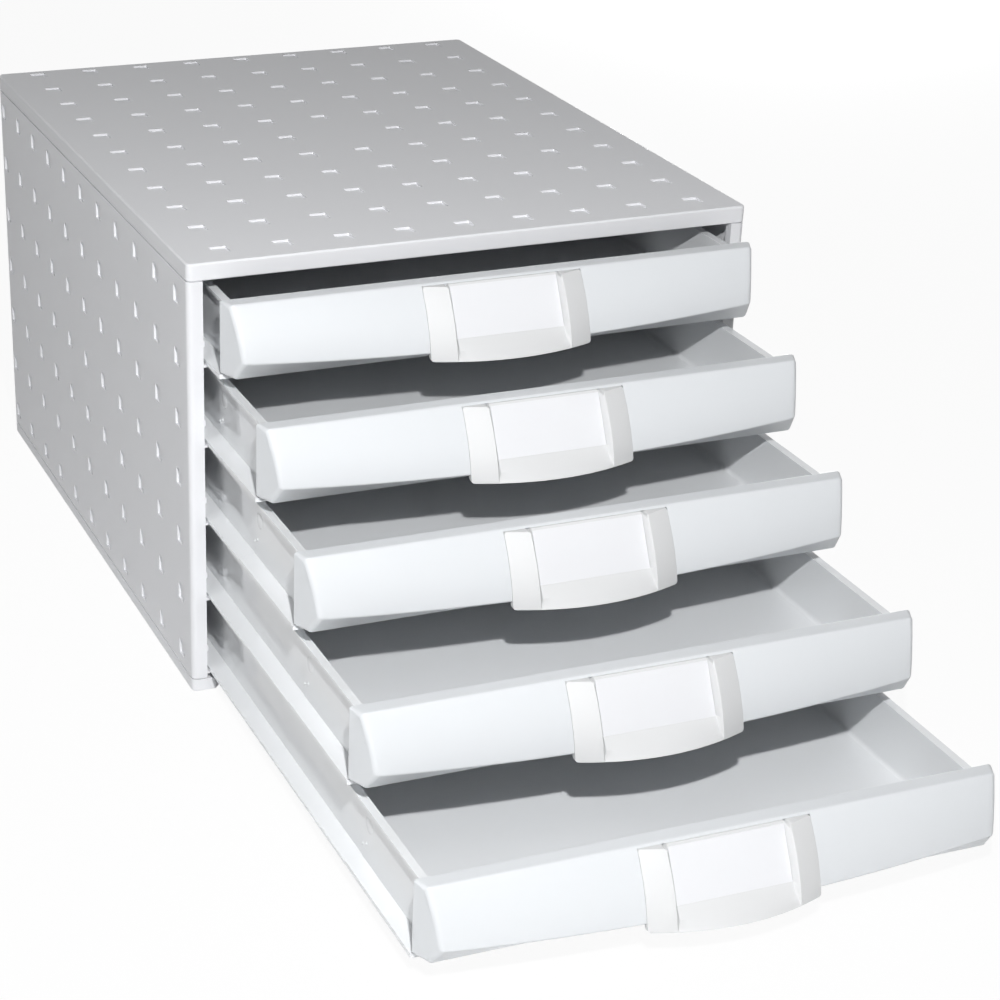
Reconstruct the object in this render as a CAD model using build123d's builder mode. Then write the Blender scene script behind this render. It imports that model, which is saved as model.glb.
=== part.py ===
from build123d import *
import os

# Desktop filing cabinet: a moulded case with five drawers that slide out towards -Y.
# Frame: +X right, +Y back, +Z up, origin at the centre of the case's footprint on the desk.
# All sizes are in millimetres. The drawers are modelled pulled out in steps, as they rest.

# Case
case_width = 275.0
case_depth = 340.0
corner_radius = 3.0
top_thickness = 8.0
base_thickness = 6.0
side_face = 7.2
side_skin = 2.4
post_depth = 5.0
rim_height = 3.0
cover_skin = 3.0
base_skin = 2.5
edge_chamfer = 0.7
seam_chamfer = 0.35

# Ribs under the cover and in the base
rib_width = 1.8
rib_columns = 3
rib_rows = 4
rib_setback = 1.0

# Recess along the front of the base
notch_depth = 3.0
notch_end_margin = 11.5
notch_slant = 2.5

# Square pockets moulded into the cover and the side panels
pocket_size = 7.7
pocket_depth = 1.0
pocket_margin = 9.5
cover_pitch_x = 29.3
cover_pitch_y = 31.5
side_pitch_y = 31.4
side_pitch_z = 29.3
lattice_shift_y = 3.4
lattice_shift_z = -0.6

# Back panel
back_thickness = 3.2
back_border = 10.0
back_recess = 1.0

# Drawers, counted from the top
open_distances = [18.8, 66.5, 113.8, 178.6, 248.1]
full_travel = 275.0
front_height = 33.3
front_gap = 5.0
top_gap = 2.7
bottom_gap = 6.8
front_side_gap = 1.0

# Drawer front, measured from its flat back towards the user
band_depth = 7.3
face_lean = 9.8
face_bulge = 2.1
plan_bulge = 5.9
top_bulge = 0.15
bulge_rise = 1.4
facet_slope = 0.35
front_wall = 2.2
front_end_wall = 3.0
top_edge_chamfer = 0.8
face_reach = 30.0
face_sections = 3
foot_depth = 9.4
edge_drop_middle = 27.8
edge_drop_end = 23.8
grip_wall = 3.0

# Drawer tray
tray_inset = 4.9
rim_drop = 3.9
rim_width = 3.9
rim_thickness = 1.6
tray_wall = 1.5
tray_draft = 0.7
tray_floor = 1.7
floor_lift = 0.3
tray_front_wall = 1.8
plug_clearance = 0.2
slot_clearance = 0.3
floor_round = 2.0

# Runners under the tray and the rails that carry them
runner_height = 3.2
runner_inner = 1.9
runner_slope = 1.2
runner_root_drop = 0.4
runner_side_gap = 1.1
runner_step = 0.5
runner_step_length = 70.0
rail_gap = 0.2
rail_thickness = 1.0
rail_mouth_reach = 2.0
rail_reach = 5.3
rail_mouth_length = 8.0
rail_taper = 4.0
rail_end_gap = 8.0

# Keepers inside the mouth and the lugs that stop against them
keeper_setback = 14.0
keeper_length = 26.0
keeper_reach = 5.1
keeper_height = 3.0
keeper_clearance = 1.4
lug_width = 4.4
lug_length = 10.0
lug_height = 3.6
lug_side_gap = 0.2
stop_gap = 0.3

# Handle on the middle of the front
handle_half = 38.9
handle_taper = 0.5
handle_top = 1.0
handle_bottom = 31.0
handle_proud = 0.3
handle_crown_top = 3.4
handle_crown_bottom = 7.5
handle_seat = 1.2
handle_clearance = 0.15
handle_side_clearance = 0.25
handle_corner_chamfer = 1.2
handle_sections = 4
seat_wall = 2.6
seat_frame = 2.4

# Finger hollow behind the handle's ramp
hollow_top = 25.5
hollow_depth = 19.0
hollow_wall = 2.4

# Snap tabs that hold the handle in the front
tab_inset = 6.9
tab_width = 6.0
tab_height = 2.4
tab_drop = 12.0
tab_root = 0.8
tab_hook = 0.8
tab_hook_length = 1.8

# Label in the handle's window, and the ramp below it
pillar_width = 12.7
label_side_gap = 0.4
label_thickness = 0.5
label_seat_gap = 0.1
label_top_depth = 9.9
label_top_drop = 1.7
label_bottom_depth = 20.9
label_bottom_drop = 22.3
ramp_edge = 0.2

# Places worked out from the sizes above
drawer_count = len(open_distances)
drawer_pitch = front_height + front_gap
bay_height = bottom_gap + (drawer_count - 1) * drawer_pitch + front_height + top_gap
seam_z = base_thickness + bay_height
case_height = seam_z + top_thickness
case_half = case_width / 2
mouth_y = -case_depth / 2
mouth_half = case_half - side_face
front_half = mouth_half - front_side_gap
skin_x = case_half - side_skin
closed_distance = -band_depth
longest_distance = closed_distance + full_travel

rim_half = front_half - tray_inset
wall_top_inner = rim_half - rim_width
wall_top_outer = wall_top_inner + tray_wall
wall_foot_inner = wall_top_inner - tray_draft
wall_foot_outer = wall_top_outer - tray_draft
floor_bottom = -front_height + floor_lift
floor_top = floor_bottom + tray_floor
runner_bottom = floor_bottom - runner_height
runner_outer = mouth_half - runner_side_gap
runner_root = floor_bottom - runner_root_drop
runner_top = runner_root - runner_slope
rail_top = runner_bottom - rail_gap
keeper_rear = mouth_y + keeper_setback + keeper_length
keeper_bottom = runner_top + keeper_clearance
lug_start = keeper_rear + stop_gap - mouth_y + longest_distance
tray_length = lug_start + lug_length


def drawer_top(number):
    """Height of the top of one drawer's front."""
    return seam_z - top_gap - number * drawer_pitch


def face_depth(share):
    """Depth of the face at its ends, from the top (0) to the bottom (1) of the front."""
    return band_depth + face_lean * share + 4 * face_bulge * share * (1 - share)


def face_crown(share):
    """How far the middle of the face stands in front of its ends."""
    return top_bulge + plan_bulge * share * (bulge_rise - (bulge_rise - 1) * share)


def copies(length, pitch):
    """Pockets that fit along a length at a pitch."""
    return int((length - 2 * pocket_margin) // pitch) + 1


def face_at(x, drop):
    """Depth of the face at a place across the front and a drop below its top."""
    share = drop / front_height
    return face_depth(share) + face_crown(share) * (1 - (x / front_half) ** 2)


def edge_drop(x):
    """Drop of the face's lower edge, which is lowest in the middle."""
    return edge_drop_middle - (edge_drop_middle - edge_drop_end) * (x / front_half) ** 2


def plan_within(half):
    """Plan of the front between two slanted ends."""
    with BuildSketch() as plan:
        with BuildLine():
            tip = half - facet_slope * face_reach
            Polyline((-half, 0), (half, 0), (tip, -face_reach), (-tip, -face_reach), close=True)
        make_face()
    return plan.sketch


def seat_depth(drop):
    """Depth of the handle's flat seat: a straight line down the front, behind the bulging face."""
    top = face_at(handle_half, 0) - handle_seat
    foot = face_at(handle_half, front_height) - handle_seat
    return top + (foot - top) * drop / front_height


def handle_edge(x, drop):
    """Depth of the handle's crowned surface at a place across it and a drop below the front's top."""
    half = handle_half - handle_taper * (1 - drop / front_height)
    growth = (drop - handle_top) / (handle_bottom - handle_top)
    crown = handle_crown_top + (handle_crown_bottom - handle_crown_top) * growth
    return face_at(handle_half, drop) + handle_proud + crown * (1 - (x / half) ** 2)


# Cover of the case
with BuildPart() as top_cover:
    with BuildSketch(Plane.XY.offset(seam_z)):
        RectangleRounded(case_width, case_depth, corner_radius)
    extrude(amount=top_thickness)
    chamfer(top_cover.edges().group_by(Axis.Z)[-1], edge_chamfer)
    chamfer(top_cover.edges().group_by(Axis.Z)[0], seam_chamfer)
    with BuildSketch(Plane.XY.offset(seam_z)):
        Rectangle(case_width - 2 * side_face, case_depth - 2 * side_face)
    extrude(amount=top_thickness - cover_skin, mode=Mode.SUBTRACT)
    rib_height = top_thickness - cover_skin - rib_setback
    with BuildSketch(Plane.XY.offset(seam_z + rib_setback)):
        with GridLocations(case_width / (rib_columns + 1), 1, rib_columns, 1):
            Rectangle(rib_width, case_depth - 2 * side_face)
        with GridLocations(1, case_depth / (rib_rows + 1), 1, rib_rows):
            Rectangle(case_width - 2 * side_face, rib_width)
    extrude(amount=rib_height)
    columns = copies(case_width, cover_pitch_x)
    rows = copies(case_depth, cover_pitch_y)
    with BuildSketch(Plane.XY.offset(case_height)):
        with Locations((0, lattice_shift_y)):
            with GridLocations(cover_pitch_x, cover_pitch_y, columns, rows):
                Rectangle(pocket_size, pocket_size)
        with Locations((0, lattice_shift_y)):
            Rectangle(cover_pitch_x, cover_pitch_y, mode=Mode.SUBTRACT)
    extrude(amount=-pocket_depth, mode=Mode.SUBTRACT)

# Base of the case, set back between its front corners
with BuildPart() as base_panel:
    with BuildSketch():
        RectangleRounded(case_width, case_depth, corner_radius)
        with BuildLine():
            notch_half = case_half - notch_end_margin
            inner_half = notch_half - notch_slant
            Polyline(
                (-notch_half, mouth_y),
                (-inner_half, mouth_y + notch_depth),
                (inner_half, mouth_y + notch_depth),
                (notch_half, mouth_y),
                close=True,
            )
        make_face(mode=Mode.SUBTRACT)
    extrude(amount=base_thickness)
    chamfer(base_panel.edges().group_by(Axis.Z)[0], seam_chamfer)
    with BuildSketch(Plane.XY.offset(base_skin)):
        Rectangle(case_width - 2 * side_face, case_depth - 2 * (notch_depth + side_face))
    extrude(amount=base_thickness - base_skin, mode=Mode.SUBTRACT)
    with BuildSketch(Plane.XY.offset(base_skin)):
        with GridLocations(case_width / (rib_columns + 1), 1, rib_columns, 1):
            Rectangle(rib_width, case_depth - 2 * side_face)
        with GridLocations(1, case_depth / (rib_rows + 1), 1, rib_rows):
            Rectangle(case_width - 2 * side_face, rib_width)
    extrude(amount=base_thickness - base_skin - rib_setback)

# Right side: a skin with posts and rims around it, five rails and five keepers
with BuildPart() as side_panel_right:
    with BuildSketch(Plane.XY.offset(base_thickness)):
        RectangleRounded(case_width, case_depth, corner_radius)
        with Locations((-side_face, 0)):
            Rectangle(case_width, case_depth, mode=Mode.SUBTRACT)
    extrude(amount=bay_height)
    channel_depth = side_face - side_skin
    with Locations((mouth_half + channel_depth / 2, 0, base_thickness + bay_height / 2)):
        Box(channel_depth, case_depth - 2 * post_depth, bay_height - 2 * rim_height, mode=Mode.SUBTRACT)
    for number in range(drawer_count):
        with BuildSketch(Plane.XY.offset(drawer_top(number) + rail_top)):
            with BuildLine():
                tip = mouth_half - rail_mouth_reach
                inner = mouth_half - rail_reach
                Polyline(
                    (skin_x, mouth_y),
                    (tip, mouth_y),
                    (tip, mouth_y + rail_mouth_length),
                    (inner, mouth_y + rail_mouth_length + rail_taper),
                    (inner, -mouth_y - rail_end_gap),
                    (skin_x, -mouth_y - rail_end_gap),
                    close=True,
                )
            make_face()
        extrude(amount=-rail_thickness)
        with BuildSketch(Plane.XY.offset(drawer_top(number) + keeper_bottom)):
            with Locations((mouth_half - keeper_reach, keeper_rear - keeper_length)):
                Rectangle(keeper_reach + channel_depth, keeper_length, align=(Align.MIN, Align.MIN))
        extrude(amount=keeper_height)
    with BuildSketch(Plane.YZ.offset(case_half)):
        with Locations((lattice_shift_y, base_thickness + bay_height / 2 + lattice_shift_z)):
            side_columns = copies(case_depth, side_pitch_y)
            side_rows = copies(bay_height, side_pitch_z)
            with GridLocations(side_pitch_y, side_pitch_z, side_columns, side_rows):
                Rectangle(pocket_size, pocket_size)
    extrude(amount=-pocket_depth, mode=Mode.SUBTRACT)

# Left side: the same moulding, mirrored
with BuildPart() as side_panel_left:
    mirror(side_panel_right.part, about=Plane.YZ)

# Back of the case, between the rear posts
with BuildPart() as back_panel:
    with BuildSketch(Plane.XZ.offset(mouth_y)):
        with Locations((0, base_thickness + bay_height / 2)):
            Rectangle(2 * mouth_half, bay_height)
    extrude(amount=back_thickness)
    with BuildSketch(Plane.XZ.offset(mouth_y)):
        with Locations((0, base_thickness + bay_height / 2)):
            Rectangle(2 * (mouth_half - back_border), bay_height - 2 * back_border)
    extrude(amount=back_recess, mode=Mode.SUBTRACT)

# Drawer tray: one section carried along its length, closed at both ends
with BuildPart() as tray:
    with BuildSketch(Plane.XZ) as tray_section:
        with BuildLine():
            Polyline(
                (0, floor_top),
                (wall_foot_inner, floor_top),
                (wall_top_inner, -rim_drop),
                (rim_half, -rim_drop),
                (rim_half, -rim_drop - rim_thickness),
                (wall_top_outer, -rim_drop - rim_thickness),
                (wall_foot_outer, runner_root),
                (runner_outer, runner_top),
                (runner_outer, runner_bottom),
                (wall_foot_outer - runner_inner, runner_bottom),
                (wall_foot_outer - runner_inner, floor_bottom),
                (0, floor_bottom),
                close=True,
            )
        make_face()
        floor_corner = tray_section.vertices().sort_by_distance((wall_foot_inner, floor_top))[0]
        fillet(floor_corner, floor_round)
        mirror(about=Plane.YZ)
    extrude(amount=-tray_length)
    with BuildSketch(Plane.XZ):
        with BuildLine():
            Polyline(
                (wall_top_outer, -rim_drop - rim_thickness),
                (wall_top_outer + runner_step, -rim_drop - rim_thickness),
                (wall_foot_outer + runner_step, runner_root + runner_step),
                (runner_outer, runner_top + runner_step),
                (runner_outer, runner_top),
                (wall_foot_outer, runner_root),
                close=True,
            )
        make_face()
        mirror(about=Plane.YZ)
    extrude(amount=-runner_step_length)
    with BuildSketch(Plane.XZ.offset(-tray_length)):
        with BuildLine():
            Polyline(
                (-wall_top_outer, -rim_drop),
                (wall_top_outer, -rim_drop),
                (wall_foot_outer, floor_bottom),
                (-wall_foot_outer, floor_bottom),
                close=True,
            )
        make_face()
    extrude(amount=tray_wall)
    with BuildSketch(Plane.XY.offset(-rim_drop)):
        with Locations((0, tray_length)):
            Rectangle(2 * rim_half, rim_width, align=(Align.CENTER, Align.MAX))
    extrude(amount=-rim_thickness)
    with BuildSketch(Plane.XZ):
        with Locations((0, floor_bottom)):
            wall_height = -floor_bottom - front_wall - plug_clearance
            Rectangle(2 * rim_half, wall_height, align=(Align.CENTER, Align.MIN))
    extrude(amount=tray_front_wall)
    with BuildSketch(Plane.XY.offset(runner_bottom)):
        lug_x = runner_outer - lug_side_gap - lug_width / 2
        with Locations((lug_x, lug_start + lug_length / 2), (-lug_x, lug_start + lug_length / 2)):
            Rectangle(lug_width, lug_length)
    extrude(amount=runner_top - runner_bottom + lug_height)

# Drawer front: bowed body, then the space behind its face, the handle's seat and its slots
cavity_half = front_half - front_end_wall
cavity_foot = front_height - front_wall
seat_half = handle_half + handle_side_clearance
seat_top = handle_top - handle_clearance
frame_half = seat_half + seat_frame
tab_x = handle_half - tab_inset

with BuildPart() as side_pocket:
    for x in (frame_half, cavity_half):
        low = edge_drop(x) - grip_wall
        middle = (front_wall + low) / 2
        with BuildSketch(Plane.YZ.offset(x)):
            with BuildLine():
                Polyline(
                    (0, -front_wall),
                    (front_wall - face_at(x, front_wall), -front_wall),
                    (front_wall - face_at(x, middle), -middle),
                    (front_wall - face_at(x, low), -low),
                    (-foot_depth, -cavity_foot),
                    (0, -cavity_foot),
                    close=True,
                )
            make_face()
    loft(ruled=True)
    mirror(about=Plane.YZ)
    extrude(plan_within(cavity_half), amount=-front_height, mode=Mode.INTERSECT)

with BuildPart() as front:
    for step in range(-face_sections, face_sections + 1):
        x = front_half * step / face_sections
        low = edge_drop(x)
        with BuildSketch(Plane.YZ.offset(x)) as section:
            with BuildLine():
                ends = [(-face_at(x, drop), -drop) for drop in (0, low / 2, low)]
                ThreePointArc(*ends)
                Polyline(ends[2], (-foot_depth, -front_height), (0, -front_height), (0, 0), ends[0])
            make_face()
            chamfer(section.vertices().group_by(Axis.Y)[-1].sort_by(Axis.X)[0], top_edge_chamfer)
    loft()
    extrude(plan_within(front_half), amount=-front_height, mode=Mode.INTERSECT)
    add(side_pocket.part, mode=Mode.SUBTRACT)
    with BuildSketch(Plane.YZ):
        with BuildLine():
            cavity_low = edge_drop_middle - grip_wall
            Polyline(
                (seat_wall - seat_depth(front_wall), -front_wall),
                (seat_wall - seat_depth(cavity_low), -cavity_low),
                (-foot_depth, -cavity_foot),
                (0, -cavity_foot),
                (0, -front_wall),
                close=True,
            )
        make_face()
    extrude(amount=frame_half, both=True, mode=Mode.SUBTRACT)
    with BuildSketch(Plane.YZ):
        with BuildLine():
            Polyline(
                (-seat_depth(seat_top), -seat_top),
                (-seat_depth(front_height), -front_height),
                (-face_reach, -front_height),
                (-face_reach, -seat_top),
                close=True,
            )
        make_face()
    extrude(amount=seat_half, both=True, mode=Mode.SUBTRACT)
    with BuildSketch(Plane.XZ):
        with Locations((0, -front_height)):
            slot_half = rim_half + slot_clearance
            Rectangle(2 * slot_half, 2 * front_wall, align=(Align.CENTER, Align.MIN))
    extrude(amount=tray_front_wall + plug_clearance, mode=Mode.SUBTRACT)
    with BuildSketch(Plane.XZ):
        with Locations((-tab_x, -tab_drop), (tab_x, -tab_drop)):
            Rectangle(tab_width + 2 * handle_clearance, tab_height + 2 * handle_clearance)
    extrude(amount=face_reach, mode=Mode.SUBTRACT)

# Handle: crowned body, a window for the label with a ramp below it, a finger hollow and tabs
window_half = handle_half - pillar_width
label_run = label_bottom_depth - label_top_depth
label_fall = label_bottom_drop - label_top_drop
label_slant = (label_run ** 2 + label_fall ** 2) ** 0.5
bed_depth = (label_thickness + label_seat_gap) * label_fall / label_slant
bed_drop = (label_thickness + label_seat_gap) * label_run / label_slant
ramp_drop = handle_bottom + ramp_edge

with BuildPart() as ramp_space:
    with BuildSketch(Plane.XY.offset(-label_bottom_drop)):
        with Locations((0, -label_bottom_depth)):
            Rectangle(2 * window_half, face_reach, align=(Align.CENTER, Align.MAX))
    with BuildSketch(Plane.XY.offset(-ramp_drop)):
        with BuildLine():
            side_depth = handle_edge(window_half, handle_bottom)
            middle_depth = handle_edge(0, handle_bottom)
            far_depth = label_bottom_depth + face_reach
            ThreePointArc((-window_half, -side_depth), (0, -middle_depth), (window_half, -side_depth))
            Polyline(
                (window_half, -side_depth),
                (window_half, -far_depth),
                (-window_half, -far_depth),
                (-window_half, -side_depth),
            )
        make_face()
    loft(ruled=True)

with BuildPart() as finger_hollow:
    with BuildSketch(Plane.YZ):
        with BuildLine():
            hollow_foot = handle_edge(window_half, handle_bottom) - hollow_wall
            Polyline(
                (0, -hollow_top),
                (-hollow_depth, -hollow_top),
                (-hollow_foot, -ramp_drop),
                (0, -ramp_drop),
                close=True,
            )
        make_face()
    extrude(amount=window_half, both=True)

with BuildPart() as handle:
    for step in range(handle_sections + 1):
        drop = front_height * step / handle_sections
        with BuildSketch(Plane.XY.offset(-drop)):
            with BuildLine():
                ends = [(side * seat_half, -handle_edge(seat_half, drop)) for side in (-1, 1)]
                ThreePointArc(ends[0], (0, -handle_edge(0, drop)), ends[1])
                Polyline(ends[1], (seat_half, 0), (-seat_half, 0), ends[0])
            make_face()
    loft()
    with BuildSketch(Plane.XZ) as outline:
        with BuildLine():
            top_half, bottom_half = [
                handle_half - handle_taper * (1 - drop / front_height) for drop in (handle_top, handle_bottom)
            ]
            Polyline(
                (-top_half, -handle_top),
                (top_half, -handle_top),
                (bottom_half, -handle_bottom),
                (-bottom_half, -handle_bottom),
                close=True,
            )
        make_face()
        chamfer(outline.vertices().group_by(Axis.Y)[0], handle_corner_chamfer)
    extrude(amount=2 * face_reach, mode=Mode.INTERSECT)
    with BuildSketch(Plane.YZ):
        with BuildLine():
            Polyline(
                (-seat_depth(0) - handle_clearance, 0),
                (-seat_depth(front_height) - handle_clearance, -front_height),
                (0, -front_height),
                (0, 0),
                close=True,
            )
        make_face()
    extrude(amount=front_half, both=True, mode=Mode.SUBTRACT)
    with BuildSketch(Plane.YZ):
        with BuildLine():
            Polyline(
                (bed_depth + label_run - label_top_depth, label_fall - label_top_drop - bed_drop),
                (bed_depth - label_bottom_depth, -label_bottom_drop - bed_drop),
                (-label_bottom_depth, -label_bottom_drop),
                (-label_bottom_depth - face_reach, -label_bottom_drop),
                (-label_bottom_depth - face_reach, label_fall),
                close=True,
            )
        make_face()
    extrude(amount=window_half, both=True, mode=Mode.SUBTRACT)
    add(ramp_space.part, mode=Mode.SUBTRACT)
    add(finger_hollow.part, mode=Mode.SUBTRACT)
    for side in (-1, 1):
        with BuildSketch(Plane.YZ.offset(side * tab_x - tab_width / 2)):
            with BuildLine():
                tab_top = tab_drop - tab_height / 2
                tab_foot = tab_drop + tab_height / 2
                hook_top = tab_top - tab_hook
                root_depth = seat_depth(tab_drop) + handle_clearance + tab_root
                hook_depth = seat_depth(hook_top) - seat_wall - handle_clearance
                tip_depth = hook_depth - tab_hook_length
                Polyline(
                    (-root_depth, -tab_top),
                    (-hook_depth, -tab_top),
                    (-hook_depth, -hook_top),
                    (-tip_depth, -tab_top),
                    (-tip_depth, -tab_foot),
                    (-root_depth, -tab_foot),
                    close=True,
                )
            make_face()
        extrude(amount=tab_width)

# Label card in the window
label_middle = (
    0,
    -(label_top_depth + label_bottom_depth) / 2,
    -(label_top_drop + label_bottom_drop) / 2,
)
label_plane = Plane(origin=label_middle, x_dir=(1, 0, 0), z_dir=(0, -label_fall, label_run))
with BuildPart() as label:
    with BuildSketch(label_plane):
        Rectangle(2 * (window_half - label_side_gap), label_slant)
    extrude(amount=-label_thickness)

# Write the case
os.makedirs("parts", exist_ok=True)
top_cover.part.label = "top_cover"
export_step(top_cover.part, "parts/top_cover.step")
base_panel.part.label = "base_panel"
export_step(base_panel.part, "parts/base_panel.step")
side_panel_right.part.label = "side_panel_right"
export_step(side_panel_right.part, "parts/side_panel_right.step")
side_panel_left.part.label = "side_panel_left"
export_step(side_panel_left.part, "parts/side_panel_left.step")
back_panel.part.label = "back_panel"
export_step(back_panel.part, "parts/back_panel.step")

# Write the drawers, each at its height and its open distance
for number, distance in enumerate(open_distances):
    place = Location((0, mouth_y - distance, drawer_top(number)))
    for piece, form in (("tray", tray), ("front", front), ("handle", handle), ("label", label)):
        name = f"drawer_{number + 1}_{piece}"
        with BuildPart() as drawer_piece:
            with Locations(place):
                add(form.part)
        drawer_piece.part.label = name
        export_step(drawer_piece.part, f"parts/{name}.step")
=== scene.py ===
"""Looks of a desktop filing cabinet: a moulded case with five drawers pulled out in steps."""

import math

import bmesh
import bpy
import numpy as np
from bpy.props import FloatProperty, FloatVectorProperty, PointerProperty
from mathutils import Euler, Matrix, Vector


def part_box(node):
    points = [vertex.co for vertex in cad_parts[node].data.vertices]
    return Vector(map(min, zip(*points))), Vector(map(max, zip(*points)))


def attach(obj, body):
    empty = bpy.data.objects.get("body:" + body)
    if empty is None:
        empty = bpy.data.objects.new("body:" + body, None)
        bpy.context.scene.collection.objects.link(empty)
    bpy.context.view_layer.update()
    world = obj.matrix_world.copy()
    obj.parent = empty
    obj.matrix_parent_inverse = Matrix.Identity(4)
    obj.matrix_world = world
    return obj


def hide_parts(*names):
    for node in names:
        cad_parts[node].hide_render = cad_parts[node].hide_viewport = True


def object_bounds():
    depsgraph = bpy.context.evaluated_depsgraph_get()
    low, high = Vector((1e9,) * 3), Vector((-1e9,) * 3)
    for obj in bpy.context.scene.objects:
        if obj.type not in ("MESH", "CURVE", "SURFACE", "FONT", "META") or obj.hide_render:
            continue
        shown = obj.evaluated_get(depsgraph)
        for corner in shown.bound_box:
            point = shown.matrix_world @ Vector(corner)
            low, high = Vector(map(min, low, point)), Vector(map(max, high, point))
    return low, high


bl_info = {
    "name": "Filing cabinet looks",
    "version": (1, 0, 0),
    "blender": (4, 5, 0),
    "location": "3D View > Sidebar > Cabinet",
    "description": "Case, trays, drawer fronts, handles and label cards of a desktop filing cabinet",
    "category": "Object",
}

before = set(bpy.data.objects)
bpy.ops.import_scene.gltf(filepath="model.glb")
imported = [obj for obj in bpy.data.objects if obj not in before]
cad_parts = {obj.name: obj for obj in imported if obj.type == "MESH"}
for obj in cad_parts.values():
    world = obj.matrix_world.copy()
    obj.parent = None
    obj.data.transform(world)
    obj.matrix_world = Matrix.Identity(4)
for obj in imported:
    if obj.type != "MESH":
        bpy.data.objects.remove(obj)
cad_low, cad_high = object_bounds()

MM = 0.001
DRAWERS = range(1, 6)
CASE_NODES = ("top_cover", "base_panel", "side_panel_left", "side_panel_right", "back_panel")
LAMPS = ("key", "side", "top", "rear")

# Cleaning of meshes
MERGE_DISTANCE = 0.005 * MM  # points nearer than this are one
LEVEL_TOLERANCE = 0.05 * MM  # heights nearer than this are the same
FLAT_ANGLE = math.radians(1)  # triangles that turn by less are one face
EASE_ANGLE = math.radians(32)  # edges that turn by more are rounded
SHARP_ANGLE = math.radians(40)  # edges that turn by more stay sharp in shade
EASE_SEGMENTS = 3

# Moulded plastic
POLYSTYRENE_IOR = 1.59
FLOW_SIZE = 45 * MM  # size of the faint clouds where the plastic flowed
GRAIN_STRENGTH = 0.6  # share of the grain's relief that the bump shows
ROUGH_SPREAD = 0.05  # how much the grain changes the roughness, up and down

# Two pips under each boss of a tray's wall: how far behind it and how far below it
PIPS = ((7.0 * MM, 12.5 * MM), (3.0 * MM, 10.4 * MM))


def linear_colour(code):
    """An sRGB hex colour as the linear red, green, blue and alpha that shaders take."""
    parts = [int(code[i : i + 2], 16) / 255 for i in (0, 2, 4)]
    return [c / 12.92 if c <= 0.04045 else ((c + 0.055) / 1.055) ** 2.4 for c in parts] + [1.0]


def length(name, value, description):
    """A size in metres that shows in the sidebar, given here in millimetres."""
    return FloatProperty(name=name, description=description, default=value * MM, unit="LENGTH", precision=5)


def colour(name, code, description):
    """A colour that shows in the sidebar, given here as an sRGB hex value."""
    return FloatVectorProperty(
        name=name, description=description, size=4, subtype="COLOR", min=0, max=1, default=linear_colour(code)
    )


class CaseSizes(bpy.types.PropertyGroup):
    edge_ease: length("Edge ease", 0.2, "Rounding of the case panels' moulded edges")
    corner: length("Corner", 3.0, "Rounding of the case's upright corners")
    seam_gap: length("Seam gap", 0.35, "How far the side panels' top edges stand off the cover at the outer face")
    foot_gap: length("Foot gap", 0.6, "How far their lower edges stand off the base at the outer face")
    seam_reach: length("Seam reach", 1.5, "How deep that wedge goes in")
    tray_ease: length("Tray edge ease", 0.25, "Rounding of the trays' moulded edges")


class TraySizes(bpy.types.PropertyGroup):
    wall_out: length("Wall, outside", 122.5, "Distance of the wall's outer face from the middle, at its top")
    wall_draft: length("Wall draft", 0.7, "How much nearer the middle that face is at its foot")
    wall_top: length("Wall top", 5.5, "Drop of the wall's top below the front's top")
    wall_foot: length("Wall foot", 33.4, "Drop of the wall's foot")
    boss_back: length("Boss back", 62.0, "Distance of the low round boss behind the front")
    boss_drop: length("Boss drop", 13.9, "Drop of the boss below the front's top")
    boss_radius: length("Boss radius", 3.7, "Radius of the boss")
    boss_height: length("Boss height", 0.22, "How far the boss stands out of the wall")
    pip_radius: length("Pip radius", 0.8, "Radius of the two small pips under the boss")
    pip_height: length("Pip height", 0.45, "How far the pips stand out of the wall")
    boss_root: length("Boss root", 0.9, "How deep the boss and pips are set in the wall")


class FrontSizes(bpy.types.PropertyGroup):
    band_depth: length("Band depth", 7.3, "Depth of the flat band along the top, at its ends")
    face_lean: length("Face lean", 9.8, "How far the face leans forward from top to bottom")
    face_bulge: length("Face bulge", 2.1, "Bulge of the face between top and bottom")
    plan_bulge: length("Plan bulge", 5.9, "Bulge of the face across its width, at the bottom")
    top_bulge: length("Top bulge", 0.15, "Bulge of the face across its width, at the top")
    bulge_rise: FloatProperty(name="Bulge rise", description="How soon the bulge across grows", default=1.4)
    end_slant: FloatProperty(name="End slant", description="Draw-in of the ends for each depth", default=0.35)
    slant_start: length("Slant start", 60, "Place across the front where columns begin to lean with the ends")
    foot_depth: length("Foot depth", 9.4, "Depth of the flat bottom of the front")
    edge_drop_middle: length("Edge drop, middle", 27.8, "Drop of the face's lower edge in the middle")
    edge_drop_end: length("Edge drop, end", 23.8, "Drop of the face's lower edge at the ends")
    top_round: length("Top round", 0.75, "Run of the rounding between band and face")
    low_round: length("Lower round", 0.7, "Run of the rounding along the face's lower edge")
    foot_round: length("Foot round", 0.5, "Run of the rounding along the bottom")
    back_round: length("Back round", 0.3, "Run of the rounding along the back edges")
    end_round: length("End round", 2.0, "Radius of the rounding between face and ends")
    end_round_back: length("End round, back", 0.8, "The same rounding at the back edges")
    end_growth: length("End growth", 3.0, "Depth at which that rounding has grown to its full radius")
    seat_depth: length("Seat depth", 1.2, "Depth of the handle's flat seat at its top and foot")
    seat_top: length("Seat top", 0.93, "Drop of the seat's upper edge")
    seat_gap: length("Seat gap", 0.12, "Gap between the handle's side and its seat")
    slot_depth: length("Slot depth", 2.0, "Depth of the slot that takes the tray's front wall")
    slot_half: length("Slot half width", 124.7, "Half the width of that slot")
    wall: length("Wall", 2.2, "Thickness of the front's wall")


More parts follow.
